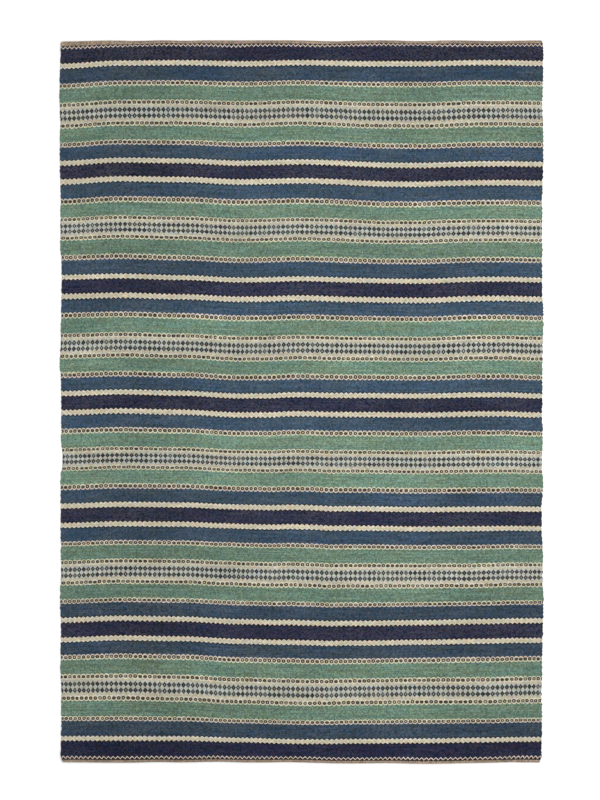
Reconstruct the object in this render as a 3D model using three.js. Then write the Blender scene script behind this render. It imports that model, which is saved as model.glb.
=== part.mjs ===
import * as THREE from 'three';

// A flatwoven jute kilim rug, woven in one piece, with a plain end turned under as a hem at each end.
// Millimetres, +Z up. The origin is on the floor under the middle of the rug.
// +X runs across the rug, along the weft, and +Y along its length, along the warp.

// Size of the whole rug
const WIDTH = 1200;
const LENGTH = 1800;

// Thickness of the cloth at the crown of each kind of band, and in the grooves between bands
const CROWN = { plain: 5.0, figured: 5.6, stripe: 5.4 };
const GROOVE_DEPTH = 0.7;

// The hem: cloth doubled over, so that each end is thicker, and rounded where it folds
const HEM = { thickness: 9.0, turnedUnder: 34, ramp: 26, foldRadius: 4.5 };
const HEM_SHOWS = 7;
const TOOTHED_EDGE = 6.5;

// The selvedge: how far its shoulder and its foot stand in from its outermost thread
const SELVEDGE = { shoulderIn: 1.6, crownIn: 6, footIn: 1.4, bulgeHeight: 0.42, shoulderHeight: 0.8 };

// Heights of the bands, in the order woven from the far end, one row for each of the six repeats
const ORDER = ['cream', 'blue', 'ring', 'green', 'figure', 'green', 'ring', 'blue', 'cream', 'navy'];
const REPEATS = [
  [13.5, 37.5, 14.0, 33.0, 66.5, 33.5, 15.0, 33.5, 13.5, 33.5],
  [14.5, 36.0, 16.5, 28.5, 65.0, 32.5, 15.5, 36.5, 13.0, 34.5],
  [14.0, 33.0, 16.0, 33.0, 67.0, 30.5, 16.0, 32.0, 13.0, 34.5],
  [13.5, 32.5, 15.0, 30.5, 61.5, 30.5, 15.5, 32.5, 13.5, 35.5],
  [13.0, 33.0, 13.5, 31.5, 66.5, 32.5, 13.0, 33.5, 13.5, 36.0],
  [13.0, 33.5, 15.5, 33.0, 70.0, 34.5, 12.5, 35.0, 12.0, 35.0],
];
const FIRST_NAVY = 34.5;

// A figure band is a row of diamonds, two diamonds high, between two rows of rings
const RING_SHARE = 0.215;

// Crowns raised across one band of each kind
const CROWNS = { navy: 2, blue: 2, green: 2, cream: 1, ring: 1, diamonds: 2, teeth: 1 };
const KIND = {
  navy: 'plain', blue: 'plain', green: 'plain',
  cream: 'stripe', ring: 'figured', diamonds: 'figured', teeth: 'plain',
};

// How far each weft line rises (+) or sags (-) at nine places across the rug, at these distances
// along it: hand weaving leaves the bands wavy
const ACROSS = [-600, -450, -300, -150, 0, 150, 300, 450, 600];
const WAVES = [
  { at: 900, rise: [-3, 0, 0, 0, 0, 0, 0, 0, 0] },
  { at: 845, rise: [-7, 0, 1, -2, 1, -2, -2, 0, -2] },
  { at: 720, rise: [-6, 1, 1, -3, 1, -4, -5, -1, -3] },
  { at: 575, rise: [-1, 5, 3, -2, 0, -5, -8, -5, -7] },
  { at: 280, rise: [5, 9, 5, -1, 1, -2, -4, 0, -1] },
  { at: 0, rise: [5, 8, 6, 0, 0, -2, -1, 0, -2] },
  { at: -290, rise: [4, 7, 7, 1, 0, -3, -5, -4, -4] },
  { at: -575, rise: [5, 10, 8, 2, -1, -3, 0, 3, 4] },
  { at: -735, rise: [10, 11, 8, 3, -1, 0, 2, 2, 4] },
  { at: -845, rise: [5, 5, 5, 2, -1, -1, 0, 2, 3] },
  { at: -900, rise: [1, 0, 0, 0, 0, -2, -3, -1, 0] },
];

// How far each side bulges out (+) or pulls in (-) along the rug
const SIDES = [
  { at: 900, left: 0, right: -3 },
  { at: 845, left: 1, right: 2 },
  { at: 740, left: 3, right: 0 },
  { at: 620, left: 2, right: 2 },
  { at: 500, left: -1, right: -2 },
  { at: 340, left: -3, right: -1 },
  { at: 220, left: -1, right: 2 },
  { at: 100, left: 2, right: 0 },
  { at: -20, left: -2, right: 0 },
  { at: -130, left: -4, right: -2 },
  { at: -190, left: 1, right: 2 },
  { at: -310, left: -1, right: -1 },
  { at: -470, left: 2, right: 3 },
  { at: -600, left: -1, right: 1 },
  { at: -700, left: -1, right: -2 },
  { at: -800, left: -1, right: -1 },
  { at: -870, left: 1, right: -1 },
  { at: -900, left: -4, right: -4 },
];
const PULLED_IN = { plain: 0, figured: 1.0, stripe: 0.6 };

// Lengthwise lines of points between the two selvedges
const INNER_LINES = 15;

const smooth = (t) => t * t * (3 - 2 * t);

// A value between the rows of a table whose `at` falls from the first row to the last
function along(table, at, value) {
  let row = 0;
  while (row < table.length - 2 && at < table[row + 1].at) row += 1;
  const above = table[row];
  const below = table[row + 1];
  const share = THREE.MathUtils.clamp((above.at - at) / (above.at - below.at), 0, 1);
  return THREE.MathUtils.lerp(value(above), value(below), smooth(share));
}

// The rise of one row of the wave table, at a place across the rug
function across(rise, x) {
  const step = ACROSS[1] - ACROSS[0];
  const place = THREE.MathUtils.clamp((x - ACROSS[0]) / step, 0, ACROSS.length - 1.001);
  const left = Math.floor(place);
  return THREE.MathUtils.lerp(rise[left], rise[left + 1], smooth(place - left));
}

const wave = (x, y) => along(WAVES, y, (row) => across(row.rise, x));

// The bands from one hem to the other, each with its kind and height
function listBands() {
  const bands = [];
  const add = (kind, height) => bands.push({ kind, height });
  add('teeth', TOOTHED_EDGE);
  add('navy', FIRST_NAVY);
  for (const heights of REPEATS) {
    ORDER.forEach((kind, column) => {
      if (kind !== 'figure') {
        add(kind, heights[column]);
        return;
      }
      const ringHeight = heights[column] * RING_SHARE;
      add('ring', ringHeight);
      add('diamonds', heights[column] - 2 * ringHeight);
      add('ring', ringHeight);
    });
  }
  add('teeth', TOOTHED_EDGE);

  const woven = bands.reduce((sum, band) => sum + band.height, 0);
  const stretch = (LENGTH - 2 * HEM_SHOWS) / woven;
  bands.forEach((band) => { band.height *= stretch; });
  return bands;
}

// Thickness that the hem adds at a distance from the end of the rug
function hemRise(fromEnd) {
  const share = THREE.MathUtils.clamp((HEM.turnedUnder - fromEnd) / HEM.ramp, 0, 1);
  return (HEM.thickness - CROWN.plain) * smooth(share);
}

// Cross-rows of the rug from its far end to its near end: place, top and underside
function listRows() {
  const rows = [];
  const half = LENGTH / 2;
  const foldSteps = [0, 0.12, 0.45, 1];

  const foldRow = (step, side) => {
    const inward = HEM.foldRadius * step;
    const rise = Math.sqrt(1 - (1 - step) ** 2);
    const middle = HEM.thickness / 2;
    return {
      y: side * (half - inward),
      top: middle + 1 + (middle - 1) * rise,
      floor: (middle - 1) * (1 - rise),
      pulledIn: 1.5 * (1 - rise),
    };
  };

  foldSteps.forEach((step) => rows.push(foldRow(step, 1)));

  let y = half - HEM_SHOWS;
  for (const band of listBands()) {
    const kind = KIND[band.kind];
    const steps = CROWNS[band.kind] + 1;
    const lines = [0];
    for (let crown = 1; crown < steps; crown += 1) lines.push(crown / steps);
    lines.forEach((share, line) => {
      const place = y - share * band.height;
      const isGroove = line === 0;
      const crownTop = CROWN[kind] - (isGroove ? GROOVE_DEPTH : 0);
      rows.push({
        y: place,
        top: crownTop + hemRise(half - Math.abs(place)),
        floor: 0,
        pulledIn: PULLED_IN[kind],
      });
    });
    y -= band.height;
  }
  rows.push({ y, top: HEM.thickness - GROOVE_DEPTH, floor: 0, pulledIn: PULLED_IN.plain });

  [...foldSteps].reverse().forEach((step) => rows.push(foldRow(step, -1)));
  return rows;
}

// One cross-row as a closed loop of points: the underside, the two selvedges and the top
function sectionLoop(row) {
  const left = -WIDTH / 2 - along(SIDES, row.y, (place) => place.left) + row.pulledIn;
  const right = WIDTH / 2 + along(SIDES, row.y, (place) => place.right) - row.pulledIn;
  const thickness = row.top - row.floor;
  const bulge = row.floor + thickness * SELVEDGE.bulgeHeight;
  const shoulder = row.floor + thickness * SELVEDGE.shoulderHeight;

  const flat = [
    [left + SELVEDGE.footIn, row.floor],
    [left, bulge],
    [left + SELVEDGE.shoulderIn, shoulder],
  ];
  const first = left + SELVEDGE.crownIn;
  const last = right - SELVEDGE.crownIn;
  for (let line = 0; line < INNER_LINES; line += 1) {
    flat.push([THREE.MathUtils.lerp(first, last, line / (INNER_LINES - 1)), row.top]);
  }
  flat.push([right - SELVEDGE.shoulderIn, shoulder]);
  flat.push([right, bulge]);
  flat.push([right - SELVEDGE.footIn, row.floor]);
  return flat.map(([x, z]) => new THREE.Vector3(x, row.y + wave(x, row.y), z));
}

// The cloth: one closed body through all the cross-rows
function clothGeometry() {
  const loops = listRows().map(sectionLoop);
  const around = loops[0].length;
  const positions = [];
  loops.forEach((loop) => loop.forEach((point) => positions.push(point.x, point.y, point.z)));

  const faces = [];
  const at = (row, place) => row * around + (place % around);
  for (let row = 0; row < loops.length - 1; row += 1) {
    for (let place = 0; place < around; place += 1) {
      faces.push(at(row, place), at(row + 1, place), at(row, place + 1));
      faces.push(at(row, place + 1), at(row + 1, place), at(row + 1, place + 1));
    }
  }

  // Each end is closed by strips between its upper line and the line of its underside
  const closeEnd = (row, facesAway) => {
    for (let place = 1; place < around - 1; place += 1) {
      const corners = [at(row, 0), at(row, place), at(row, place + 1)];
      if (facesAway) corners.reverse();
      faces.push(...corners);
    }
  };
  closeEnd(0, false);
  closeEnd(loops.length - 1, true);

  const geometry = new THREE.BufferGeometry();
  geometry.setAttribute('position', new THREE.Float32BufferAttribute(positions, 3));
  geometry.setIndex(faces);

  // The waves leave the ends uneven, so the cloth is centred over the origin again
  geometry.computeBoundingBox();
  const middle = geometry.boundingBox.getCenter(new THREE.Vector3());
  geometry.translate(-middle.x, -middle.y, 0);
  geometry.computeVertexNormals();
  return geometry;
}

const juteYarn = new THREE.MeshStandardMaterial({ color: 0x6b746c, roughness: 0.95, metalness: 0 });

const cloth = new THREE.Mesh(clothGeometry(), juteYarn);
cloth.name = 'rug_cloth';

const group = new THREE.Group();
group.add(cloth);

export default group;
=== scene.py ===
"""A flatwoven jute kilim rug, dressed for its final look.

Sizes are millimetres until a mesh is made. +X runs across the rug, along the weft, and +Y along its
length, along the warp. `down` is the distance from the far end, and a rib is the ridge over one warp.
"""

import math
from functools import partialmethod

import bpy
import numpy as np
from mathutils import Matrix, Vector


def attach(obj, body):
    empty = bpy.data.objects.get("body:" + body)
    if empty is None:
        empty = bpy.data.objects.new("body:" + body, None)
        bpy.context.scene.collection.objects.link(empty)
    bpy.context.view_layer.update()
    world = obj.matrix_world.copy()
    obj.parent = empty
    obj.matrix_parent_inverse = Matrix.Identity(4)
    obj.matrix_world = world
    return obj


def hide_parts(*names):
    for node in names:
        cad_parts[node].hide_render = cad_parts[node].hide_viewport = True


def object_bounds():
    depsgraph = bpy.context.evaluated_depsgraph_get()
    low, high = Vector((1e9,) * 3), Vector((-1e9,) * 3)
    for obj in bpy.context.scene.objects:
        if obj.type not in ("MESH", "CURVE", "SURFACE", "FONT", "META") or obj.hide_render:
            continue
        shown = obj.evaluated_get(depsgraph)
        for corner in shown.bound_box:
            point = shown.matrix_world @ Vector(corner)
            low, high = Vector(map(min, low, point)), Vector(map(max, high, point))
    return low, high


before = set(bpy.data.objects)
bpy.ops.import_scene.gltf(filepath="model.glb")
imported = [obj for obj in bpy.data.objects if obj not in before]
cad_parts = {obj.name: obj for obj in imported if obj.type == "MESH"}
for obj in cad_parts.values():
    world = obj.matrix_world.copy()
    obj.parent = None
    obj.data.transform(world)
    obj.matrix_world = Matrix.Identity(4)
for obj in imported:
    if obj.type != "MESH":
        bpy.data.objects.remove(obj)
cad_low, cad_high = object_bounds()

MM = 0.001
rng = np.random.default_rng(23)

# Too little to show, in millimetres or in ribs
HAIR = 0.01

# Size of the whole rug
WIDTH = 1200
LENGTH = 1800

# Thickness of the cloth at the crown of each family of bands, and the grooves between bands
CROWN = {"plain": 5.0, "figured": 5.6, "stripe": 5.4}
FAMILY = {"cream": "stripe", "ring": "figured", "figure": "figured"}
GROOVE_DEPTH = 0.7
GROOVE_WIDTH = 2.6

# The hem: cloth doubled over, so that each end is thicker, and rounded where it folds
HEM_THICKNESS = 9.0
HEM_TURNED_UNDER = 34
HEM_RAMP = 26
HEM_FOLD_RADIUS = 4.5
HEM_FOLD_LIP = 1
HEM_FOLD_PULLED_IN = 1.5
HEM_SHOWS = 7
HEM_FOLD_STEPS = [0, 0.05, 0.16, 0.36, 0.65, 1]
TOOTHED_EDGE = 6.5

# The selvedge: how far its shoulder and its foot stand in from its outermost thread
SELVEDGE_SHOULDER_IN = 0.9
SELVEDGE_FOOT_IN = 1.4
SELVEDGE_BULGE_HEIGHT = 0.42
SELVEDGE_SHOULDER_HEIGHT = 0.8

# How far the left (0) and right (-1) selvedges stray from line to line, how far in from them the ribs
# stray with them, and how much of it their feet follow
SELVEDGE_ROUGH = {0: 0.9, -1: 1.3}
SELVEDGE_ROUGH_REACH = 12
SELVEDGE_FOOT_FOLLOWS = 0.6

# Heights of the bands, in the order woven from the far end, one row for each of the six repeats
ORDER = ["cream", "blue", "ring", "green", "figure", "green", "ring", "blue", "cream", "navy"]
REPEATS = [
    [13.5, 36.5, 14.0, 34.0, 66.5, 34.5, 15.0, 33.0, 13.5, 33.0],
    [14.5, 35.0, 16.5, 31.5, 60.5, 35.5, 15.5, 35.5, 13.0, 34.5],
    [14.0, 32.5, 16.0, 35.0, 65.0, 31.0, 16.0, 31.5, 13.0, 34.0],
    [13.5, 32.5, 15.0, 32.5, 58.5, 32.0, 15.5, 32.0, 13.5, 35.0],
    [13.0, 33.5, 13.5, 33.0, 65.0, 33.0, 13.0, 33.5, 13.5, 36.0],
    [13.0, 32.0, 15.5, 35.0, 69.0, 33.5, 12.5, 35.0, 12.0, 36.5],
]
FIRST_NAVY = 35.0

# How far each weft line rises (+) or sags (-) at nine places across the rug
ACROSS = np.array([-600, -450, -300, -150, 0, 150, 300, 450, 600])
WAVES = [
    (900, [-3, 0, 0, 0, 0, 0, 0, 0, 0]),
    (893, [-7, -3, 0, 0, 0, 0, 0, 0, 0]),
    (880, [-7, -3, 0, 0, 0, 0, 0, 0, 0]),
    (845, [-9, -1, 0, -3, 0, -3, -3, 0, -2]),
    (720, [-8, 0, 0, -4, 0, -6, -7, -2, -3]),
    (575, [-3, 5, 3, -3, 0, -6, -9, -5, -6]),
    (280, [4, 7, 3, -3, 0, -4, -6, -1, -3]),
    (0, [3, 7, 4, -3, 0, -2, -3, 0, -3]),
    (-290, [2, 6, 5, -1, -2, -5, -7, -6, -6]),
    (-575, [4, 9, 7, 0, -3, -4, -2, 1, 3]),
    (-735, [10, 11, 8, 1, -3, -1, 1, 1, 4]),
    (-845, [4, 4, 4, 0, -4, -3, -2, 0, 2]),
    (-900, [1, 0, 0, 0, 0, -2, -3, -1, 0]),
]

# Smaller swells of the weft lines: place across and along the rug, reach each way, and rise
SWELLS = [
    (100, 560, 45, 200, 1.5), (200, 470, 40, 170, -1.6), (350, 480, 45, 110, 1.5),
    (-77, -50, 28, 350, -1.2), (72, -350, 28, 420, -1.6), (-27, -480, 25, 300, 1.3),
    (-177, -380, 30, 150, 1.5), (420, -430, 40, 90, -1.8), (520, 0, 30, 900, 1.0),
]

# The same along the fold of the far hem and the zigzag beside it, then along the near zigzag and
# fold: place along the rug, with place across it, reach across and rise
HEM_SWELLS = [
    (900, [(-414, 45, -1.8), (-290, 30, -1.2), (84, 60, -2.4), (293, 50, -2.2), (490, 70, -1.9)]),
    (884, [
        (-401, 80, 2.2), (-172, 45, -2.8), (45, 60, -1.3), (200, 60, 1.5), (293, 30, 2.2),
        (400, 60, -0.9),
    ]),
    (-881, [
        (-215, 40, 2.4), (-100, 60, 1.3), (0, 40, 1.2), (240, 50, 1.7), (560, 50, 2.8),
        (-360, 40, 1.0),
    ]),
    (-900, [(-357, 45, 1.6), (-215, 70, 2.2), (-40, 50, 1.2), (220, 60, 1.2), (510, 70, 1.3)]),
]
HEM_SWELL_REACH = 10

# How far each side bulges out (+) or pulls in (-): place along the rug, left, right
SIDES = [
    (900, -1, -1), (890, 0, 3.5), (811, 2.5, 3), (751, 3, 1.5), (692, 1.5, 3.5), (600, 2, 3.5),
    (513, 0, 0.5), (453, 1, 1.5), (393, 1, 1), (333, -2.5, 0.5), (274, -2, 1), (214, -1, 4),
    (154, 0.5, 2.5), (95, 2.5, 1.5), (35, -1, 1), (-25, -1.5, 0.5), (-84, -1, 2), (-144, -4, 0.5),
    (-204, 0.5, 3), (-263, 0, -1), (-323, 0, 0), (-383, -0.5, 3), (-442, 0, 2.5), (-502, 1.5, 4),
    (-562, -1, 2.5), (-622, 0, 1), (-681, 0.5, 0.5), (-741, -1, 0), (-801, -1.5, 0.5), (-886, 0, -1),
    (-900, -5, -6),
]
PULLED_IN = {"plain": 0, "figured": 1.0, "stripe": 0.6}

# The loom: ribs across the rug, ribs in one motif, and the height of one bead of weft
RIBS = 412
MOTIF_RIBS = 4
MOTIF_WIDE = WIDTH * MOTIF_RIBS / RIBS
BEAD = 2.1
RIB_DEPTH = 0.85

# The warps aren't spaced evenly: place across the rug, and spacing there against the mean
RIB_SPACING = [
    (-600, 0.92), (-536, 0.96), (-436, 1.05), (-337, 1.03), (-237, 0.985), (-137, 0.94), (-37, 1.02),
    (62, 1.03), (162, 1.0), (262, 0.965), (361, 1.07), (461, 1.05), (600, 0.9),
]

# How far the cloth strays from even. A swell is a pair: how far, and its blotches down and across.
EDGE_STRAY = 0.3
WARP_STRAY = 0.22
WARP_SWELL = (1.4, (14, 12))
WARP_SETTLES = 40
CROWN_STRAY = 0.07
CROWN_SWELL = (0.16, (60, 90))

# Points across: where in its rib a selvedge's shoulder lies, how many columns of points a selvedge
# has, and how many columns of faces the flat underside has
SHOULDER_RIB = 0.14
SIDE_COLUMNS = 3
UNDER_COLUMNS = 33

# An edge between faces is sharp from this angle
SHARP_DEGREES = 72

# Height of one row of faces
ROW = 3.3

# The rows of motifs in a figure band this high: its rings from its edges, its diamonds from its middle
FIGURE_HEIGHT = 66.5
FIGURE_RING_AT = 7.1
FIGURE_RING_HEIGHT = 14.4
DIAMOND_AT = 7.6

# The toothed edge: its height, and where its zigzag runs, from the end of the rug
TOOTH_HEIGHT = 11.4
ZIGZAG_AT = 12.3

# What is woven in a row of faces
PLAIN, RING, CREAM, DIAMOND, TOOTH = range(5)

# The motif of a band, and the height of the band where the motif has its usual size
BAND_MOTIFS = {"ring": (RING, 15.0), "cream": (CREAM, 13.5)}

# How far the motifs of a band reach into the bands above and below it
REACH = {"cream": 3.4, "ring": 0.6, "figure": 0.6, "teeth_near": TOOTH_HEIGHT - TOOTHED_EDGE}

# Dyes as they look in daylight, before loose fibres lighten them: the yarn, and what it drifts towards
DYES = {
    "navy": ((9, 23, 50), (22, 18, 50)),
    "blue": ((33, 59, 84), (44, 63, 75)),
    "green": ((87, 117, 103), (97, 118, 96)),
    "jute": ((152, 135, 116), (124, 104, 87)),
    "ground": ((167, 173, 166), (162, 160, 148)),
    "cream": ((190, 185, 163), (185, 176, 153)),
    "blush": ((195, 184, 168), (189, 174, 157)),
    "chalk": ((194, 190, 176), (186, 179, 165)),
    "outline": ((193, 188, 168), (184, 175, 153)),
    "rosy": ((196, 184, 169), (186, 172, 157)),
    "leafy": ((197, 193, 168), (186, 182, 153)),
    "sand": ((176, 172, 153), (168, 160, 140)),
    # The last two are no dyes but painted shade, for the grooves beside the cream stripes: dark on the
    # navy side, slate on the blue side
    "dark": ((4, 3, 4), (7, 5, 6)),
    "shade_slate": ((20, 26, 35), (19, 25, 32)),
}

# The same for yarns of the motifs, which don't drift
TOOTH_BROWN = (24, 13, 8)
ZIGZAG_CHALK = (200, 184, 172)
RING_BROWN = (42, 28, 5)
RING_BLACK = (21, 12, 2)
RING_DOT = (184, 167, 136)
INK = (15, 25, 17)
PURPLE_INK = (17, 13, 23)
TAN = (156, 138, 108)

# Outlines of rings beside a band
OUTLINE_BESIDE = {"blue": "rosy", "green": "leafy"}

# How far a lot of a dye may lie on its way to what it drifts towards
LOT_STRAY = 0.35

# How light each lot of a dye is, in the order woven from the far end, and how fuzzy lots of navy are
LOT_LIGHT = {
    "navy": [0.76, 0.9, 1.04, 0.955, 0.98, 1.0, 0.95],
    "blue": [0.79, 1.04, 1.05, 1.03, 1.08, 1.13, 1.04, 0.98, 0.92, 0.79, 0.76, 0.74],
    "green": [0.96, 1.01, 1.02, 0.92, 1.04, 1.06, 1.05, 1.13, 0.94, 0.91, 0.91, 0.935],
}
LOT_FUZZ = {"navy": [0.95, 1.0, 1.0, 1.0, 1.0, 1.0, 0.6]}

# Motifs, in millimetres at their usual size, from the middle of each. SOFT is how soft an edge is, as
# a share of the size, and SHARE how far a yarn covers what lies under it. Of four numbers in a row,
# the last two are the range of a chance, and the first two what it is mapped to.

# How far the edges of motifs keep to the edges of beads
HELD_TO_BEADS = 0.3

# Outlines: ring scallops; cream stripes with teeth, a rim of painted shade and a faint chain inside
OUTLINE_SOFT = 0.14
RING_NOTCH_HIGH = 3.7
RING_TIP_HIGH = 7.4
CREAM_HALF = 6.0
CREAM_TOOTH = 1.9
CREAM_SHADE_RIM = 3.0
CHAIN_WIDE = 2.9
CHAIN_HIGH = 2.5
CHAIN_LINE = 0.3
CHAIN_SOFT = 0.6
CHAIN_SHARE = 0.35

# Rings, strayed and stretched by chance, a few of them open at one side, and the dot in their middle
RING_WIDE = 5.0
RING_HIGH = 4.3
RING_WIDER = (0.9, 1.08, 0.0, 1.0)
RING_HIGHER = (0.92, 1.08, 0.0, 1.0)
RING_STRAY = 0.9
RING_SOFT = 0.3
RING_SHARE = (0.86, 1.0, 0.0, 0.4)
RING_OPEN_CHANCE = 0.975
RING_OPEN_FROM = 0.45
RING_OPEN_SHARE = 0.5
DOT_SIZE = 0.36
DOT_SOFT = 0.5
DOT_SHARE = (0.1, 0.9, 0.4, 1.1)
DOT_DRIFT = 0.7

# Diamonds, the lighter heart of some, and the faint links between many
DIAMOND_WIDE = 6.2
DIAMOND_HIGH = 7.0
DIAMOND_WIDER = (0.92, 1.04, 0.0, 1.0)
DIAMOND_SOFT = 0.25
DIAMOND_SHARE = (0.85, 1.0, 0.0, 0.3)
HEART_WIDE = 1.8
HEART_HIGH = 2.4
HEART_SOFT = 0.6
HEART_SHARE = (0.1, 0.6, 0.2, 0.9)
LINK_HIGH = 1.1
LINK_SOFT = 0.5
LINK_CHANCE = 0.3
LINK_FROM = 0.6
LINK_SHARE = 0.5

# Dark yarn turned round the outermost ribs
TURNED_HIGH = 2.4
TURNED_SOFT = 0.5
TURNED_RIBS = 1.3
TURNED_SHARE = 0.7

# The zigzag of the toothed edge
ZIGZAG_RISE = 2.6
ZIGZAG_HALF = 1.2
ZIGZAG_SOFT = 0.3

# Soft noise over the weave: how many ribs wide and millimetres high it is, a place of its own, the
# least and the most that it is mapped to, and how far from its middle level it reaches them
NOISES = {
    "lot": (50, 24, 0.0, 0.0, 1.0, 0.14),
    "pick": (30, 3.2, 9.0, -0.25, 0.25, 0.14),
    "broad": (110, 126, 11.0, 0.9, 1.1, 0.15),
    "worn": (40, 60, 31.0, 0.75, 1.25, 0.15),
    "redder": (6.5, 7.5, 17.0, -1.0, 1.0, 0.2),
    "bluer": (7.5, 8.0, 23.0, -1.0, 1.0, 0.2),
}

# Noise along rows of motifs, streaks along picks, strokes along ribs, and fibres: how long each is, in
# ribs or millimetres, how far it steps to the next pick or rib, a place of its own, and its effect
ROW_RIBS = 30
ROW_PLACE = 5.0
ROW_EFFECT = 0.12
STREAK_RIBS = 55
STREAK_STEP = 0.83
STREAK_PLACE = 7.0
STROKE_HIGH = 9.5
STROKE_STEP = 3.7
STROKE_PLACE = 3.0
FIBRES_PER_METRE = (900, 2600, 1500)
FIBRE_DETAIL = 3.0
FINE_EFFECT = 0.2
COARSE_EFFECT = 0.15

# How far each of these swings the light of the yarn, either way
STREAK_SWING = 0.23
STROKE_SWING = 0.21
BEAD_SWING = 0.40
FIBRE_SWING = 0.14

# How far the dye drifts from bead to bead
BEAD_DRIFT = 0.35

# How strongly a swing of light and the painted shade of dark yarn show, mapped from the paleness of the
# yarn
SWING_SHOWS = (1.14, 0.5, 0.11, 0.38)
PAINTED_SHADE_SHOWS = (1.0, 0.2, 0.05, 0.25)

# Where dark yarn is painted darker, as painted shade, in ribs from the left side: place, reach and share
PAINTED_SHADE_PLACES = [(70, 45, 0.22), (335, 30, 0.06)]

# The shade of the grooves between ribs and between beads, mapped from the height of the yarn
RIB_SHADE = (0.72, 1.04, 0.0, 0.75)
BEAD_SHADE = (0.82, 1.03, 0.0, 0.6)

# How far red and blue swing against green, as a share of the light
HUE_SWING = 0.08

# Light that the loose fibres of one bead add at most, how it swings along the picks, how much of it
# the rims of painted shade beside the cream stripes lack, and how red and blue it may turn
FUZZ = 0.04
FUZZ_SWING = 0.2
SHADE_RIM_LACKS_FUZZ = 0.6
FUZZ_REDDER = 0.005
FUZZ_BLUER = 0.006

# Relief of the yarn: how high a bead, a rib and the fibres stand in it, and how deep it all is
RELIEF_BEAD = 0.55
RELIEF_RIB = 0.35
RELIEF_FIBRE = 0.35
RELIEF_STRENGTH = 0.7
RELIEF_DEPTH = 0.45

# How rough the yarn is, least and most, and how much it shines
ROUGH_LEAST = 0.80
ROUGH_MOST = 0.96
SHINE = 0.12

# Layout of the map that a strip is painted on, in shares of it: the top in three lengths, one above
# another, then the underside and the two ends
MAP_LENGTHS = 3
MAP_MARGIN = 0.008
MAP_LENGTH_HIGH = 0.265
MAP_UNDER_HIGH = 0.10
MAP_END_HIGH = 0.012

# Camera, straight above the rug, far off with a long lens.
# The photograph is 600 by 800 pixels, and the rug's outline spans these in it.
FRAME_WIDE, FRAME_HIGH = 600, 800
OUTLINE_LEFT, OUTLINE_RIGHT = 59.4, 543.8
OUTLINE_TOP, OUTLINE_BOTTOM = 40.2, 763.9
LENS = 150
SENSOR = 36
CAMERA_SEES_METRES = 200

# Floor, in metres: half its side, how far it lies under the rug, and its look
FLOOR_HALF = 40.0
FLOOR_BELOW = 0.0002
FLOOR_COLOUR = (0.96, 0.96, 0.955, 1)
FLOOR_ROUGH = 0.9
FLOOR_SHINE = 0.1

# Light: a white room, a soft light from above, its spread and tilt in degrees, and a soft lamp over
# the rug's right half, its width and place in metres
ROOM_LIGHT = 0.70
OVERHEAD_LIGHT = 0.8
OVERHEAD_SPREAD = 50
OVERHEAD_TILT = (-8, 8, 0)
LAMP_LIGHT = 23
LAMP_WIDE = 1.6
LAMP_AT = (0.6, 0.15, 2.2)


def smooth(share):
    return share * share * (3 - 2 * share)


def table_place(at, place):
    """The row of a table whose `at` falls from first to last, and the smooth share past that row."""
    at = np.asarray(at, float)
    row = np.clip(np.searchsorted(-at, -place, side="right") - 1, 0, len(at) - 2)
    share = np.clip((at[row] - place) / (at[row] - at[row + 1]), 0, 1)
    return row, smooth(share)


def wave(x, y):
    """How far the weft line at y has risen at x."""
    heights = np.array([rise for _, rise in WAVES], float)
    place = np.clip((x - ACROSS[0]) / (ACROSS[1] - ACROSS[0]), 0, len(ACROSS) - 1.001)
    left = place.astype(int)
    right_share = smooth(place - left)
    row, share = table_place([at for at, _ in WAVES], y)

    def at_row(chosen):
        return heights[chosen, left] * (1 - right_share) + heights[chosen, left + 1] * right_share

    rise = at_row(row) * (1 - share) + at_row(row + 1) * share
    for middle_x, middle_y, reach_x, reach_y, swell in SWELLS:
        rise = rise + swell * np.exp(-((x - middle_x) / reach_x) ** 2 - ((y - middle_y) / reach_y) ** 2)
    for middle_y, swells in HEM_SWELLS:
        beside = np.exp(-((y - middle_y) / HEM_SWELL_REACH) ** 2)
        for middle_x, reach_x, swell in swells:
            rise = rise + swell * beside * np.exp(-((x - middle_x) / reach_x) ** 2)
    return rise


def bulge(y, side):
    """How far the left (0) or right (1) side stands out at y."""
    out = np.array([row[1 + side] for row in SIDES], float)
    row, share = table_place([row[0] for row in SIDES], y)
    return out[row] * (1 - share) + out[row + 1] * share


def soft_noise(rows, columns, blotches):
    """Smooth noise between -1 and 1 on a grid of points, with so many blotches down and across."""
    cells_down, cells_across = blotches
    grid = rng.uniform(-1, 1, (cells_down + 2, cells_across + 2))
    down = np.linspace(0, cells_down, rows)
    across = np.linspace(0, cells_across, columns)
    top, left = down.astype(int), across.astype(int)
    dy, dx = smooth(down - top)[:, None], smooth(across - left)[None, :]
    near = grid[np.ix_(top, left)] * (1 - dx) + grid[np.ix_(top, left + 1)] * dx
    far = grid[np.ix_(top + 1, left)] * (1 - dx) + grid[np.ix_(top + 1, left + 1)] * dx
    return near * (1 - dy) + far * dy


# The plan of the weaving: bands from the far end to the near end


def list_bands():
    """Each band's kind and height, as woven from the far end, stretched to the rug's length."""
    bands = [("teeth_far", TOOTHED_EDGE), ("navy", FIRST_NAVY)]
    for heights in REPEATS:
        bands += zip(ORDER, heights)
    bands.append(("teeth_near", TOOTHED_EDGE))
    stretch = (LENGTH - 2 * HEM_SHOWS) / sum(height for _, height in bands)
    return [(kind, height * stretch) for kind, height in bands]


def linear(colour):
    """Light from a daylight colour of 0 to 255."""
    share = np.asarray(colour, float) / 255
    return np.where(share <= 0.04045, share / 12.92, ((share + 0.055) / 1.055) ** 2.4)


def dye_lot(name, light=1.0, fuzz=1.0):
    """One lot of a dye, so light: its yarn, the colour that it drifts towards, and how fuzzy it is."""
    yarn, other = (linear(colour) for colour in DYES[name])
    share = rng.uniform(0, LOT_STRAY)
    return (yarn + (other - yarn) * share) * light, (other + (yarn - other) * share) * light, fuzz


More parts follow.
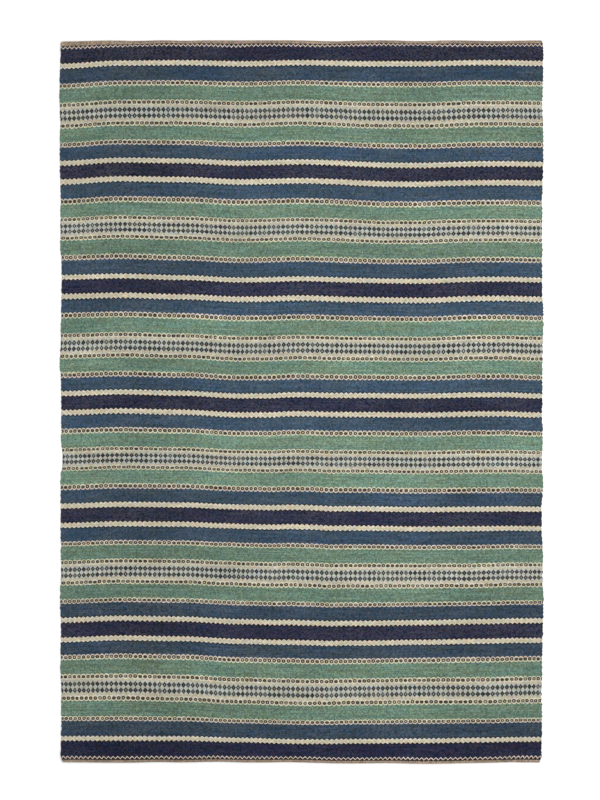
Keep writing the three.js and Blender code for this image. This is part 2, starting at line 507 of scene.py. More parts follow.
def band_lots(kinds):
    """The lot of dye that each band is woven with."""
    woven = {name: 0 for name in LOT_LIGHT}
    lots = []
    for kind in kinds:
        if kind not in LOT_LIGHT:
            lots.append(dye_lot("ground"))
            continue
        number = woven[kind]
        fuzz = LOT_FUZZ[kind][number] if kind in LOT_FUZZ else 1.0
        lots.append(dye_lot(kind, LOT_LIGHT[kind][number], fuzz))
        woven[kind] += 1
    return lots


class Cloth:
    """The lines and rows of the weaving. A row of faces lies between each line and the next."""

    def __init__(self):
        self.down = [0.0]
        self.rows = []
        self.strip_starts = []
        self.edge_lots = {name: dye_lot(name) for name in DYES}

    def weave(
        self, height, lots, what=PLAIN, at=0.0, stretch=1.0, shift=0.0, edge=("cream",), shade_rim=("dark",)
    ):
        """Adds rows of faces. Lots, edge yarns and the painted shade of rims follow each other from top
        to bottom.

        `at` is where the middle of a row of motifs lies, `stretch` what its heights are divided by to
        have their usual size, and `shift` how far it is moved across, as a share of a motif."""
        count = max(1, round(height / ROW))
        for number in range(count):
            share = (number + 0.5) / count
            yarn, other, fuzz = lots[int(share * len(lots))]
            colours = {
                "dye": yarn,
                "tint": other,
                "edge": self.edge_lots[edge[int(share * len(edge))]][0],
                "shade_rim": self.edge_lots[shade_rim[int(share * len(shade_rim))]][0],
            }
            # The alpha of each colour holds how fuzzy the lot is
            row = {name: (*colour, fuzz) for name, colour in colours.items()}
            self.rows.append({**row, "motif": (what, at, stretch, shift)})
            self.down.append(self.down[-1] + height / count)

    def weave_to(self, place, lots, **settings):
        self.weave(place - self.down[-1], lots, **settings)


def weave_figure(cloth, start, end, above, below, ground, sand):
    """Two rows of diamonds between two rows of rings, the lower rings moved by half a motif."""
    share = (end - start) / FIGURE_HEIGHT
    middle = (start + end) / 2
    cloth.weave_to(
        start + FIGURE_RING_HEIGHT * share, [above, sand],
        what=RING, at=start + FIGURE_RING_AT * share, stretch=share, edge=("leafy", "outline"),
    )
    for diamond_at, bottom, grounds in (
        (middle - DIAMOND_AT * share, middle, [sand, ground, ground, ground]),
        (middle + DIAMOND_AT * share, end - FIGURE_RING_HEIGHT * share, [ground, ground, ground, sand]),
    ):
        cloth.weave_to(bottom, grounds, what=DIAMOND, at=diamond_at, stretch=share)
    cloth.weave_to(
        end + REACH["figure"], [sand, below],
        what=RING, at=end - FIGURE_RING_AT * share, stretch=share, shift=0.5, edge=("outline", "leafy"),
    )


def yarns_beside(kind, kind_above, kind_below):
    """Yarns to suit the bands above and below: a cream stripe is rosier on its blue side."""
    if kind == "ring":
        return {"edge": (OUTLINE_BESIDE[kind_above], OUTLINE_BESIDE[kind_below])}
    turn = -1 if kind_above == "blue" else 1
    # The rim beside a cream stripe is painted shade: slate on its blue side, darker on the other
    return {"edge": ("blush", "cream", "chalk")[::turn], "shade_rim": ("dark", "shade_slate")[::turn]}


def plan_cloth():
    """Weaves all the bands, and marks where one strip of the rug gives way to the next."""
    bands = list_bands()
    kinds = [kind for kind, _ in bands]
    borders = HEM_SHOWS + np.concatenate([[0], np.cumsum([height for _, height in bands])])
    lots = band_lots(kinds)
    hem, sand = dye_lot("jute"), dye_lot("sand")

    cloth = Cloth()
    fold = [HEM_FOLD_RADIUS * step for step in HEM_FOLD_STEPS[1:]] + [HEM_SHOWS]
    for place in fold:
        cloth.weave_to(place, [hem])

    for place, kind in enumerate(kinds):
        start, end = borders[place], borders[place + 1]
        above, below = lots[place - 1], lots[min(place + 1, len(lots) - 1)]
        if kind == "teeth_far":
            cloth.weave_to(HEM_SHOWS + TOOTH_HEIGHT, [below], what=TOOTH, at=ZIGZAG_AT)
        elif kind == "teeth_near":
            cloth.weave_to(LENGTH - HEM_SHOWS, [above], what=TOOTH, at=LENGTH - ZIGZAG_AT, stretch=-1.0)
        elif kind in BAND_MOTIFS:
            what, height = BAND_MOTIFS[kind]
            cloth.weave_to(
                end + REACH[kind], [above, below],
                what=what, at=(start + end) / 2, stretch=(end - start) / height,
                **yarns_beside(kind, kinds[place - 1], kinds[place + 1]),
            )
        elif kind == "figure":
            weave_figure(cloth, start, end, above, below, lots[place], sand)
        else:
            cloth.weave_to(end - REACH[kinds[place + 1]], [lots[place]])
        if kind == "green" or (kind == "navy" and 1 < place < len(kinds) - 2):
            cloth.strip_starts.append(len(cloth.down) - 1)

    for place in fold[-2::-1] + [0.0]:
        cloth.weave_to(LENGTH - place, [hem])
    return cloth, kinds, borders


cloth, KINDS, BORDERS = plan_cloth()
down = np.array(cloth.down)
LINES = len(down)


# The shape of the cloth: points on every line


def crown_heights():
    """Height of the ribs' crowns on each line, lower beside a border between bands, and its family."""
    band = np.clip(np.searchsorted(BORDERS, down, side="right") - 1, 0, len(KINDS) - 1)
    families = [FAMILY.get(KINDS[place], "plain") for place in band]
    heights = np.array([CROWN[family] for family in families])
    from_border = np.abs(down[:, None] - BORDERS[None, :]).min(axis=1)
    return heights - GROOVE_DEPTH * np.exp(-((from_border / GROOVE_WIDTH) ** 2)), families


def hem_profile(crowns):
    """Top and underside of the cloth on each line, thicker at the hems and rounded at their folds."""
    from_end = np.minimum(down, LENGTH - down)
    share = np.clip((HEM_TURNED_UNDER - from_end) / HEM_RAMP, 0, 1)
    top = crowns + (HEM_THICKNESS - CROWN["plain"]) * smooth(share)
    step = np.clip(from_end / HEM_FOLD_RADIUS, 0, 1)
    rise = np.sqrt(1 - (1 - step) ** 2)
    middle = HEM_THICKNESS / 2
    on_fold = from_end <= HEM_FOLD_RADIUS + HAIR
    top = np.where(on_fold, middle + HEM_FOLD_LIP + (middle - HEM_FOLD_LIP) * rise, top)
    floor = np.where(on_fold, (middle - HEM_FOLD_LIP) * (1 - rise), 0.0)
    return top, floor, np.where(on_fold, HEM_FOLD_PULLED_IN * (1 - rise), 0.0), on_fold


def rib_edges():
    """Where each rib begins, across a rug of even width."""
    fine = np.linspace(-WIDTH / 2, WIDTH / 2, 2 * WIDTH + 1)
    spacing = np.interp(fine, [x for x, _ in RIB_SPACING], [share for _, share in RIB_SPACING])
    count = np.concatenate([[0], np.cumsum(1 / spacing[1:])])
    return np.interp(np.arange(RIBS + 1), count * RIBS / count[-1], fine)


def rib_columns():
    """Each column of points as a place counted in ribs: crowns at halves, grooves at wholes."""
    inner = np.arange(0.5, RIBS, 0.5)
    return np.concatenate([[0, 0, SHOULDER_RIB], inner, [RIBS - SHOULDER_RIB, RIBS, RIBS]])


crowns, family_of_line = crown_heights()
line_top, line_floor, fold_in, on_fold = hem_profile(crowns)
column_rib = rib_columns()
is_crown = column_rib % 1 == 0.5
COLUMNS = len(column_rib)


def half_picks():
    """How far each point lies down the rug, in beads: the beads of odd ribs lie half a bead lower."""
    rib = np.floor(column_rib).astype(int)
    half_step = np.where(is_crown, np.where(rib % 2 == 1, 0.5, 0.0), 0.25)
    half_step[:SIDE_COLUMNS] = 0
    half_step[-SIDE_COLUMNS:] = 0.5
    return np.where(on_fold, 0.0, 1.0)[:, None] * half_step[None, :]


def lay_points():
    """The upper surface as a grid of points, from the left foot over the ribs to the right foot."""
    base_y = LENGTH / 2 - down
    pulled = np.array([PULLED_IN[family] for family in family_of_line])
    pulled = np.where(on_fold, fold_in, pulled) + rng.uniform(-EDGE_STRAY, EDGE_STRAY, LINES)
    left = -WIDTH / 2 - bulge(base_y, 0) + pulled
    right = WIDTH / 2 + bulge(base_y, 1) - pulled

    even = np.interp(column_rib, np.arange(RIBS + 1), rib_edges()) + WIDTH / 2
    x = left[:, None] + even[None, :] / WIDTH * (right - left)[:, None]
    fade = np.clip(np.minimum(even, WIDTH - even) / WARP_SETTLES, 0, 1)
    swell, blotches = WARP_SWELL
    x += swell * fade * soft_noise(LINES, COLUMNS, blotches)
    x += WARP_STRAY * fade * rng.uniform(-1, 1, COLUMNS)
    y = base_y[:, None] - BEAD * stagger + wave(x, np.repeat(base_y[:, None], COLUMNS, 1))

    depth = np.where(is_crown, 0.0, RIB_DEPTH)[None, :] * np.ones((LINES, 1))
    z = line_top[:, None] - depth
    swell, blotches = CROWN_SWELL
    z += swell * soft_noise(LINES, COLUMNS, blotches)
    z += CROWN_STRAY * rng.uniform(-1, 1, (LINES, COLUMNS))
    z[[0, -1]] = line_top[[0, -1], None] - RIB_DEPTH

    thickness = line_top - line_floor
    for side, edge, inward in ((0, left, 1), (-1, right, -1)):
        foot, outer, shoulder = (0, 1, 2) if side == 0 else (-1, -2, -3)
        rough = rng.uniform(-1, 1, LINES) * SELVEDGE_ROUGH[side]
        from_side = even if side == 0 else WIDTH - even
        x += rough[:, None] * np.clip(1 - from_side / SELVEDGE_ROUGH_REACH, 0, 1)
        x[:, foot] = edge + inward * SELVEDGE_FOOT_IN + rough * SELVEDGE_FOOT_FOLLOWS
        x[:, outer] = edge + rough
        x[:, shoulder] = edge + inward * SELVEDGE_SHOULDER_IN + rough
        z[:, foot] = line_floor
        z[:, outer] = line_floor + thickness * SELVEDGE_BULGE_HEIGHT
        z[:, shoulder] = line_floor + thickness * SELVEDGE_SHOULDER_HEIGHT
    return np.stack([x, y, z], axis=-1)


def lay_underside():
    """The points under the cloth between its feet: flat on the floor, so few columns are enough."""
    shares = np.arange(1, UNDER_COLUMNS) / UNDER_COLUMNS
    foot, far_foot = points[:, 0], points[:, -1]
    x = foot[:, None, 0] * (1 - shares) + far_foot[:, None, 0] * shares
    base_y = np.repeat((LENGTH / 2 - down)[:, None], UNDER_COLUMNS - 1, 1)
    y = base_y + wave(x, base_y)
    z = np.repeat(line_floor[:, None], UNDER_COLUMNS - 1, 1)
    return np.stack([x, y, z], axis=-1)


stagger = half_picks()
points = lay_points()
underside = lay_underside()

# The waves leave the ends uneven, so the cloth is centred over the origin again
everything = np.concatenate([points.reshape(-1, 3), underside.reshape(-1, 3)])
centre = (everything.min(axis=0) + everything.max(axis=0)) / 2
for grid in (points, underside):
    grid[..., :2] -= centre[:2]
    grid[..., 2] = np.maximum(grid[..., 2], 0)


# Strips: the rug is too fine for one mesh, so it is made in strips that share their border lines

ROWS = {name: np.array([row[name] for row in cloth.rows]) for name in cloth.rows[0]}

# Corners of a face of a grid, in turn, as steps down and across
TURN = ((0, 0), (1, 0), (1, 1), (0, 1))


def map_spot(across, high, slot, part):
    """A place on the map: `across` from 0 to 1, and `high` from 0 to 1 within a slot of the layout."""
    bottoms = {
        "top": MAP_MARGIN + slot * (MAP_LENGTH_HIGH + MAP_MARGIN),
        "under": MAP_MARGIN + MAP_LENGTHS * (MAP_LENGTH_HIGH + MAP_MARGIN),
        "end": 1 - (slot + 1) * (MAP_END_HIGH + MAP_MARGIN),
    }
    highs = {"top": MAP_LENGTH_HIGH, "under": MAP_UNDER_HIGH, "end": MAP_END_HIGH}
    u = MAP_MARGIN + across * (1 - 2 * MAP_MARGIN)
    return np.stack(np.broadcast_arrays(u, bottoms[part] + high * highs[part]), axis=-1)


def end_faces(is_rug_end):
    """The faces that close an end, each by its columns on the upper line and on the underside."""
    stops = np.round(np.linspace(0, COLUMNS - 1, UNDER_COLUMNS + 1)).astype(int)
    places = range(UNDER_COLUMNS)
    if not is_rug_end:
        return [(range(stops[place], stops[place + 1] + 1), (place + 1, place)) for place in places]

    # At the rug's own ends, a fan from each point of the underside to the straight line above it
    middles = (stops[:-1] + stops[1:]) // 2
    below = np.searchsorted(middles, np.arange(COLUMNS - 1), side="right")
    fans = [((column, column + 1), (below[column],)) for column in range(COLUMNS - 1)]
    return fans + [((middles[place],), (place + 1, place)) for place in places]


class Strip:
    """The faces of the cloth between two lines, closed all round."""

    def __init__(self, first, last):
        self.first = first
        self.last = last
        self.lines = last - first + 1
        self.parts = []
        self.add_grid(self.top_at, COLUMNS - 1, MAP_LENGTHS, "top", TURN)
        self.add_grid(self.under_at, UNDER_COLUMNS, 1, "under", TURN[::-1])
        self.add_ends()

    def top_at(self, line, column):
        return line * COLUMNS + column

    def under_at(self, line, column):
        """A point of the underside, whose first and last are the feet of the upper surface."""
        inside = self.lines * COLUMNS + line * (UNDER_COLUMNS - 1) + column - 1
        at_foot = np.where(column == 0, self.top_at(line, 0), self.top_at(line, COLUMNS - 1))
        return np.where((column == 0) | (column == UNDER_COLUMNS), at_foot, inside)

    def add(self, corners, spots, rows):
        """Adds faces that have the same number of corners."""
        sizes = np.full(len(corners), corners.shape[1])
        self.parts.append((corners.ravel(), spots.reshape(-1, 2), sizes, self.first + rows))

    def add_grid(self, corner_at, columns, lengths, part, turn):
        """Adds the faces of a grid of points, in so many lengths on the map."""
        row, column = np.meshgrid(np.arange(self.lines - 1), np.arange(columns), indexing="ij")
        row, column = row.ravel(), column.ravel()
        length_columns = math.ceil(columns / lengths)
        length = column // length_columns
        in_length = column - length * length_columns
        corners = [corner_at(row + r, column + c) for r, c in turn]
        spots = [
            map_spot((in_length + c) / length_columns, 1 - (row + r) / (self.lines - 1), length, part)
            for r, c in turn
        ]
        self.add(np.stack(corners, axis=1), np.stack(spots, axis=1), row)

    def add_ends(self):
        """Closes each end between its upper line and the line of its underside."""
        for end, (line, facing) in enumerate(((0, 1), (self.lines - 1, -1))):
            for upper, lower in end_faces(self.first + line in (0, LINES - 1)):
                upper, lower = np.array(upper), np.array(lower)
                corners = np.concatenate([self.top_at(line, upper), self.under_at(line, lower)])
                spots = np.concatenate([
                    map_spot(upper / (COLUMNS - 1), 1.0, end, "end"),
                    map_spot(lower / UNDER_COLUMNS, 0.0, end, "end"),
                ])
                row = 0 if line == 0 else self.lines - 2

                # Both lines share their corners at the feet, and what is left there may be no face
                is_new = corners != np.roll(corners, 1)
                if is_new.sum() < 3:
                    continue
                self.add(corners[is_new][None, ::facing], spots[is_new][::facing], np.array([row]))

    def make_mesh(self, name):
        top = points[self.first:self.last + 1].reshape(-1, 3)
        under = underside[self.first:self.last + 1].reshape(-1, 3)
        corners, spots, sizes, rows = (np.concatenate(part) for part in zip(*self.parts))
        mesh = bpy.data.meshes.new(name)
        mesh.vertices.add(len(top) + len(under))
        mesh.vertices.foreach_set("co", (np.concatenate([top, under]) * MM).ravel())
        mesh.loops.add(len(corners))
        mesh.loops.foreach_set("vertex_index", corners.astype(np.int32))
        mesh.polygons.add(len(sizes))
        mesh.polygons.foreach_set("loop_start", (np.cumsum(sizes) - sizes).astype(np.int32))
        mesh.update(calc_edges=True)
        mesh.validate()
        mesh.shade_smooth()
        mesh.set_sharp_from_angle(angle=math.radians(SHARP_DEGREES))
        mesh.uv_layers.new(name="OFBake").uv.foreach_set("vector", spots.astype(np.float32).ravel())
        self.add_attributes(mesh, rows)
        return mesh

    def add_attributes(self, mesh, rows):
        """Where each point lies on the loom, and the yarns and the motif of each face."""
        lines = slice(self.first, self.last + 1)
        top_rib = np.repeat(np.clip(column_rib, HAIR, RIBS - HAIR)[None, :], self.lines, 0)
        top_down = down[lines, None] + BEAD * stagger[lines]
        under_rib = np.tile(np.arange(1, UNDER_COLUMNS) / UNDER_COLUMNS * RIBS, self.lines)
        under_down = np.repeat(down[lines], UNDER_COLUMNS - 1)
        loom = np.zeros((len(mesh.vertices), 3), np.float32)
        loom[:, 0] = np.concatenate([top_rib.ravel(), under_rib])
        loom[:, 1] = np.concatenate([top_down.ravel(), under_down])
        mesh.attributes.new("loom", "FLOAT_VECTOR", "POINT").data.foreach_set("vector", loom.ravel())

        for name, values in ROWS.items():
            data = mesh.attributes.new(name, "FLOAT_COLOR", "FACE").data
            data.foreach_set("color", values[rows].astype(np.float32).ravel())


def add_object(name, data):
    made = bpy.data.objects.new(name, data)
    bpy.context.scene.collection.objects.link(made)
    return made


def make_strip(name, first, last, material):
    """A closed piece of the cloth between two lines."""
    mesh = Strip(first, last).make_mesh(name)
    mesh.materials.append(material)
    return add_object(name, mesh)


# Material


class Sum:
    """A number in a material's nodes, which can be used in sums."""

    def __init__(self, shader, socket):
        self.shader = shader
        self.socket = socket

    def do(self, operation, *others, clamp=False):
        return self.shader.math(operation, self, *others, clamp=clamp)

    __add__ = __radd__ = partialmethod(do, "ADD")
    __sub__ = partialmethod(do, "SUBTRACT")
    __mul__ = __rmul__ = partialmethod(do, "MULTIPLY")
    __truediv__ = partialmethod(do, "DIVIDE")
    __pow__ = partialmethod(do, "POWER")
    __abs__ = partialmethod(do, "ABSOLUTE")
    above = partialmethod(do, "GREATER_THAN")
    below = partialmethod(do, "LESS_THAN")

    def __rsub__(self, other):
        return self.shader.math("SUBTRACT", other, self)

    def within(self, soft):
        """1 where this is under 1, and 0 where it is over 1, with a soft step between."""
        return (1.0 - self).do("MULTIPLY_ADD", 1 / soft, 0.5, clamp=True)

    def spread(self, low, high, start, end):
        """Maps this from start..end to low..high, and stops there."""
        names = {"Value": self, "From Min": start, "From Max": end, "To Min": low, "To Max": high}
        return self.shader.number("ShaderNodeMapRange", names)

    def swing(self, low, high, effect):
        """Maps soft noise to low..high, which it reaches at `effect` from its middle level."""
        return self.spread(low, high, 0.5 - effect, 0.5 + effect)

    def hump(self):
        """0 where this is 0 or 1, and 1 halfway between."""
        return self * (1.0 - self) * 4.0


class Shader:
    """Adds and links nodes. An input is a number, a daylight colour or another node's output."""

    def __init__(self, name):
        self.material = bpy.data.materials.new(name)
        self.material.use_nodes = True
        self.tree = self.material.node_tree
        self.surface = self.tree.nodes["Principled BSDF"]

    def node(self, kind, inputs=(), **settings):
        """Adds a node. Its inputs come in turn, or by their names."""
        made = self.tree.nodes.new(kind)
        for name, value in settings.items():
            setattr(made, name, value)
        pairs = inputs.items() if isinstance(inputs, dict) else enumerate(inputs)
        for socket, value in pairs:
            self.feed(made.inputs[socket], value)
        return made

    def feed(self, socket, value):
        if isinstance(value, Sum):
            value = value.socket
        if isinstance(value, tuple):
            value = (*linear(value), 1)
        if isinstance(value, bpy.types.NodeSocket):
            self.tree.links.new(value, socket)
        else:
            socket.default_value = value

    def number(self, kind, inputs=(), **settings):
        return Sum(self, self.node(kind, inputs, **settings).outputs[0])

    def math(self, operation, *inputs, clamp=False):
        return self.number("ShaderNodeMath", inputs, operation=operation, use_clamp=clamp)

    def join(self, *numbers):
        """A vector or colour of three numbers."""
        return self.node("ShaderNodeCombineXYZ", numbers).outputs[0]

    def parts(self, vector):
        """The three numbers of a vector or colour."""
        node = self.node("ShaderNodeSeparateXYZ", (vector,))
        return [Sum(self, socket) for socket in node.outputs]

    def noise(self, x, y, z, detail=1.0):
        """Soft noise at a place."""
        place = self.join(x, y, z)
        return self.number("ShaderNodeTexNoise", {"Vector": place, "Scale": 1.0, "Detail": detail})

    def chances(self, x, y):
        """Three numbers between 0 and 1, new for each pair of whole numbers."""
        found = self.node("ShaderNodeTexWhiteNoise", (self.join(x, y),), noise_dimensions="2D")
        return self.parts(found.outputs["Color"])

    def mix(self, share, first, second):
        made = self.node("ShaderNodeMix", {0: share, 6: first, 7: second}, data_type="RGBA")
        return made.outputs[2]

    def attribute(self, name, output="Color"):
        return self.node("ShaderNodeAttribute", attribute_name=name).outputs[output]


class JuteYarn(Shader):
    """Dyed jute in a weft-faced weave: beads over ribs, with motifs, drifting dyes and fibres."""

    def __init__(self):
        super().__init__("jute_yarn")
        self.find_bead()
        self.find_motif()
        self.find_fibres()
        self.dye_yarn()
        self.weave_outlines()
        self.weave_rings()
        self.weave_diamonds()
        self.weave_selvedge()
        self.weave_teeth()
        self.shade()
        self.raise_relief()

    def find_bead(self):
        """Place within one bead, half a bead lower on odd ribs, and chances of its own."""
        self.rib_place, self.down_place, _ = self.parts(self.attribute("loom", "Vector"))
        self.rib = self.rib_place.do("FLOOR")
        bead_place = self.down_place / BEAD - self.rib.do("MODULO", 2.0) * 0.5
        self.bead = bead_place.do("FLOOR")
        self.across, self.along = self.rib_place - self.rib, bead_place - self.bead
        self.over_rib, self.over_bead = self.across.hump(), self.along.hump()
        self.own_light, self.own_hue, self.own_fuzz = self.chances(self.rib, self.bead)
        self.streak = self.noise(self.rib_place / STREAK_RIBS, self.bead * STREAK_STEP, STREAK_PLACE)

    def find_motif(self):
        """Place within one motif, with its first rib in its middle, and chances of its own."""
        what, self.motif_at, stretch = self.parts(self.attribute("motif"))
        shift = Sum(self, self.attribute("motif", "Alpha"))
        held_rib = self.rib_place + (0.5 - self.across) * HELD_TO_BEADS
        held_down = self.down_place + (0.5 - self.along) * (HELD_TO_BEADS * BEAD)
        turn = held_rib / MOTIF_RIBS + shift + (0.5 - 0.5 / MOTIF_RIBS)
        motif = turn.do("FLOOR")
        self.x = (turn - motif - 0.5) * MOTIF_WIDE
        self.y = (held_down - self.motif_at) / stretch
        self.from_middle = abs(self.x) / (MOTIF_WIDE / 2)
        self.chance_1, self.chance_2, self.chance_3 = self.chances(motif, self.motif_at.do("FLOOR"))
        self.is_ring, self.is_cream, self.is_diamond, self.is_tooth = (
            what.do("COMPARE", woven, HAIR) for woven in (RING, CREAM, DIAMOND, TOOTH))
        row_noise = self.noise(self.rib_place / ROW_RIBS, self.motif_at, ROW_PLACE)
        self.row_drift = row_noise.swing(0.0, 1.0, ROW_EFFECT)

    def find_fibres(self):
        place = self.node("ShaderNodeTexCoord").outputs["Object"]
        scaled = [part * count for part, count in zip(self.parts(place), FIBRES_PER_METRE)]
        self.fibre = self.noise(*scaled, detail=FIBRE_DETAIL)

    def soft(self, name):
        """One of the named soft noises."""
        wide, tall, own_place, low, high, effect = NOISES[name]
        found = self.noise(self.rib_place / wide, self.down_place / tall, own_place)
        return found.swing(low, high, effect)

    def paint(self, share, colour):
        self.colour = self.mix(share, self.colour, colour)

    def dye_yarn(self):
        """Each lot drifts in patches, from pick to pick and from bead to bead."""
        drift = self.soft("lot") + self.soft("pick") + (self.own_hue - 0.5) * BEAD_DRIFT
        self.colour = self.mix(drift, self.attribute("dye"), self.attribute("tint"))

    def weave_outlines(self):
        """Toothed cream stripes with painted groove shade beside them, and the scalloped outlines of
        rings.
        """
        cream_high = CREAM_HALF + CREAM_TOOTH * (1.0 - 2.0 * self.from_middle)
        round_top = 1.0 - self.from_middle * self.from_middle
        ring_high = RING_NOTCH_HIGH + (RING_TIP_HIGH - RING_NOTCH_HIGH) * round_top
        high = ring_high + (cream_high - ring_high) * self.is_cream
        outlined = (self.is_ring + self.is_cream) * (abs(self.y) / high).within(OUTLINE_SOFT)
        self.shade_rimmed = self.is_cream * (abs(self.y) / (high + CREAM_SHADE_RIM)).within(OUTLINE_SOFT)
        # Painted shade in the grooves beside the cream stripes, under the stripe itself
        self.paint(self.shade_rimmed, self.attribute("shade_rim"))
        self.paint(outlined, self.attribute("edge"))

        chain = ((self.x / CHAIN_WIDE) ** 2 + (self.y / CHAIN_HIGH) ** 2) ** 0.5
        chained = self.is_cream * (abs(chain - 1.0) / CHAIN_LINE).within(CHAIN_SOFT)
        self.paint(chained * CHAIN_SHARE, TAN)

    def weave_rings(self):
        """The brown of a ring, with a lighter dot in the middle of many, and a few faint at one side."""
        wide = RING_WIDE * self.chance_3.spread(*RING_WIDER)
        high = RING_HIGH * self.chance_2.spread(*RING_HIGHER)
        x = (self.x + (self.chance_1 - 0.5) * RING_STRAY) / wide
        y = (self.y + (self.chance_2 - 0.5) * RING_STRAY) / high
        ring = (x * x + y * y) ** 0.5
        is_open = self.chance_3.above(RING_OPEN_CHANCE) * x.above(RING_OPEN_FROM)
        browned = self.is_ring * ring.within(RING_SOFT) * self.chance_1.spread(*RING_SHARE)
        browned = browned * (1.0 - is_open * RING_OPEN_SHARE)
        self.paint(browned, self.mix(self.row_drift, RING_BROWN, RING_BLACK))
        dot_share = (self.chance_2 + self.row_drift * DOT_DRIFT).spread(*DOT_SHARE)
        self.paint(self.is_ring * (ring / DOT_SIZE).within(DOT_SOFT) * dot_share, RING_DOT)

    def weave_diamonds(self):
        """The dark of a diamond, lighter in the heart of some, and faint links from one to the next."""
        x, y = abs(self.x), abs(self.y)
        diamond = x / (DIAMOND_WIDE * self.chance_3.spread(*DIAMOND_WIDER)) + y / DIAMOND_HIGH
        heart = (x / HEART_WIDE + y / HEART_HIGH).within(HEART_SOFT) * self.chance_1.spread(*HEART_SHARE)
        inked = self.is_diamond * diamond.within(DIAMOND_SOFT) * (1.0 - heart)
        inked = inked * self.chance_2.spread(*DIAMOND_SHARE)
        link = self.is_diamond * (y / LINK_HIGH).within(LINK_SOFT) * self.from_middle.above(LINK_FROM)
        link = link * self.chance_3.above(LINK_CHANCE) * LINK_SHARE
        ink = self.mix(self.row_drift, INK, PURPLE_INK)
        self.paint(inked.do("MAXIMUM", link), ink)

    def weave_selvedge(self):
        """Dark yarn that turns round the selvedge beside the rings and diamonds."""
        from_side = RIBS / 2 - abs(self.rib_place - RIBS / 2)
        turned = (self.is_ring + self.is_diamond) * (abs(self.y) / TURNED_HIGH).within(TURNED_SOFT)
        self.paint(turned * from_side.below(TURNED_RIBS) * TURNED_SHARE, RING_BLACK)

    def weave_teeth(self):
        """The toothed edge: brown teeth under the hem, and a chalky zigzag round them."""
        from_zigzag = self.y + ZIGZAG_RISE * (1.0 - 2.0 * self.from_middle)
        self.paint(self.is_tooth * from_zigzag.below(0.0), TOOTH_BROWN)
        zigzag = self.is_tooth * (abs(from_zigzag) / ZIGZAG_HALF).within(ZIGZAG_SOFT)
        self.paint(zigzag, ZIGZAG_CHALK)

    def find_light(self):
        """Light and dark: streaks along picks, strokes along ribs, beads, clouds, fibres, painted groove
        shade.
        """
        stroke = self.noise(self.rib * STROKE_STEP, self.down_place / STROKE_HIGH, STROKE_PLACE)
        light = self.streak.swing(1 - STREAK_SWING, 1 + STREAK_SWING, FINE_EFFECT)
        light = light * stroke.swing(1 - STROKE_SWING, 1 + STROKE_SWING, FINE_EFFECT)
        light = light * self.own_light.spread(1 - BEAD_SWING, 1 + BEAD_SWING, 0.0, 1.0)
        light = light * self.soft("broad")
        light = light * self.fibre.swing(1 - FIBRE_SWING, 1 + FIBRE_SWING, FINE_EFFECT)
        paleness = self.number("ShaderNodeRGBToBW", (self.colour,))
        light = 1.0 + (light - 1.0) * paleness.spread(*SWING_SHOWS)
        shade_shows = paleness.spread(*PAINTED_SHADE_SHOWS)
        # Painted shade: dark yarn is darker near these places across the rug
        for shade_at, reach, share in PAINTED_SHADE_PLACES:
            from_shade = (self.rib_place - shade_at) / reach
            light = light * (1.0 - (from_shade * from_shade * -1.0).do("EXPONENT") * shade_shows * share)
        # Painted shade in the grooves between ribs and between beads
        return light * self.over_rib.spread(*RIB_SHADE) * self.over_bead.spread(*BEAD_SHADE)

    def find_fuzz(self):
        """Light that loose fibres add to a bead."""
        fuzz = self.own_fuzz * FUZZ * self.streak.swing(1 - FUZZ_SWING, 1 + FUZZ_SWING, COARSE_EFFECT)
        fuzz = fuzz * (1.0 - self.shade_rimmed * SHADE_RIM_LACKS_FUZZ)
        return fuzz * self.soft("worn") * Sum(self, self.attribute("dye", "Alpha"))

    def shade(self):
        """The colour with all its light and dark, its turns of hue and its fuzz."""
        light, fuzz = self.find_light(), self.find_fuzz()
        redder, bluer = self.soft("redder"), self.soft("bluer")
        tinted = self.join(light * (1.0 + redder * HUE_SWING), light, light * (1.0 + bluer * HUE_SWING))
        pale = self.join(fuzz + redder * FUZZ_REDDER, fuzz, fuzz + bluer * FUZZ_BLUER)
        shaded = self.node("ShaderNodeVectorMath", (self.colour, tinted, pale), operation="MULTIPLY_ADD")
        self.feed(self.surface.inputs["Base Color"], shaded.outputs[0])

    def raise_relief(self):
        """Each bead is rounded both ways, with fibres along it."""
        height = self.over_bead ** 0.5 * RELIEF_BEAD + self.over_rib * RELIEF_RIB
        height = height + self.fibre * RELIEF_FIBRE
        settings = {"Strength": RELIEF_STRENGTH, "Distance": RELIEF_DEPTH * MM, "Height": height}
        self.feed(self.surface.inputs["Normal"], self.node("ShaderNodeBump", settings).outputs[0])
        rough = self.fibre.swing(ROUGH_LEAST, ROUGH_MOST, FINE_EFFECT)
        self.feed(self.surface.inputs["Roughness"], rough)
        self.surface.inputs["Specular IOR Level"].default_value = SHINE


# Camera, floor and light


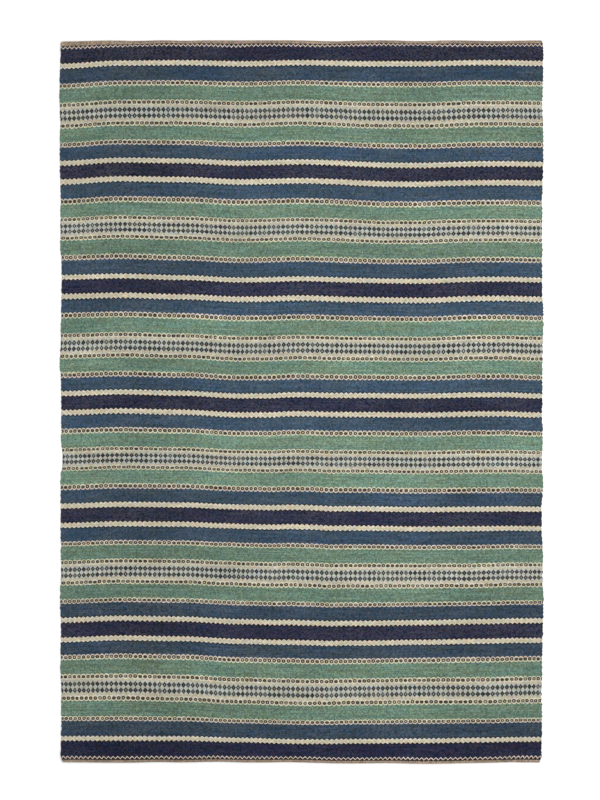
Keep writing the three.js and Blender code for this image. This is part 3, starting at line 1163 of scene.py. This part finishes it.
def add_camera():
    middle = (cad_low + cad_high) / 2
    metres_per_pixel = (cad_high.y - cad_low.y) / (OUTLINE_BOTTOM - OUTLINE_TOP)
    distance = metres_per_pixel * FRAME_HIGH * LENS / SENSOR
    camera_data = bpy.data.cameras.new("camera")
    camera_data.lens = LENS
    camera_data.sensor_width = SENSOR
    camera_data.clip_end = CAMERA_SEES_METRES
    camera = add_object("camera", camera_data)
    right_of_middle = FRAME_WIDE / 2 - (OUTLINE_LEFT + OUTLINE_RIGHT) / 2
    above_middle = (OUTLINE_TOP + OUTLINE_BOTTOM) / 2 - FRAME_HIGH / 2
    camera.location = (
        middle.x + right_of_middle * metres_per_pixel,
        middle.y + above_middle * metres_per_pixel,
        cad_high.z + distance,
    )
    bpy.context.scene.camera = camera


def add_floor():
    mesh = bpy.data.meshes.new("studio_floor")
    corners = [(x * FLOOR_HALF, y * FLOOR_HALF, 0) for x, y in ((-1, -1), (1, -1), (1, 1), (-1, 1))]
    mesh.from_pydata(corners, [], [(0, 1, 2, 3)])
    shader = Shader("studio_floor")
    look = {"Base Color": FLOOR_COLOUR, "Roughness": FLOOR_ROUGH, "Specular IOR Level": FLOOR_SHINE}
    for name, value in look.items():
        shader.surface.inputs[name].default_value = value
    mesh.materials.append(shader.material)
    floor = add_object("studio_floor", mesh)
    floor.location.z = -FLOOR_BELOW
    return floor


def add_lights():
    world = bpy.data.worlds.new("studio")
    world.use_nodes = True
    background = world.node_tree.nodes["Background"]
    background.inputs["Color"].default_value = (1, 1, 1, 1)
    background.inputs["Strength"].default_value = ROOM_LIGHT
    bpy.context.scene.world = world

    overhead_data = bpy.data.lights.new("overhead", "SUN")
    overhead_data.energy = OVERHEAD_LIGHT
    overhead_data.angle = math.radians(OVERHEAD_SPREAD)
    overhead = add_object("overhead", overhead_data)
    overhead.rotation_euler = [math.radians(turn) for turn in OVERHEAD_TILT]

    lamp_data = bpy.data.lights.new("soft_lamp", "AREA")
    lamp_data.shape = "DISK"
    lamp_data.size = LAMP_WIDE
    lamp_data.energy = LAMP_LIGHT
    lamp = add_object("soft_lamp", lamp_data)
    lamp.location = LAMP_AT
    bpy.context.scene.view_settings.view_transform = "Standard"


# The whole rug

add_camera()
floor = add_floor()
add_lights()
yarn = JuteYarn().material
starts = [0] + cloth.strip_starts + [LINES - 1]
for number, (first, last) in enumerate(zip(starts, starts[1:]), 1):
    strip = make_strip(f"rug_strip_{number:02d}", first, last, yarn)
    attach(strip, "root")
    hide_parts("rug_cloth")
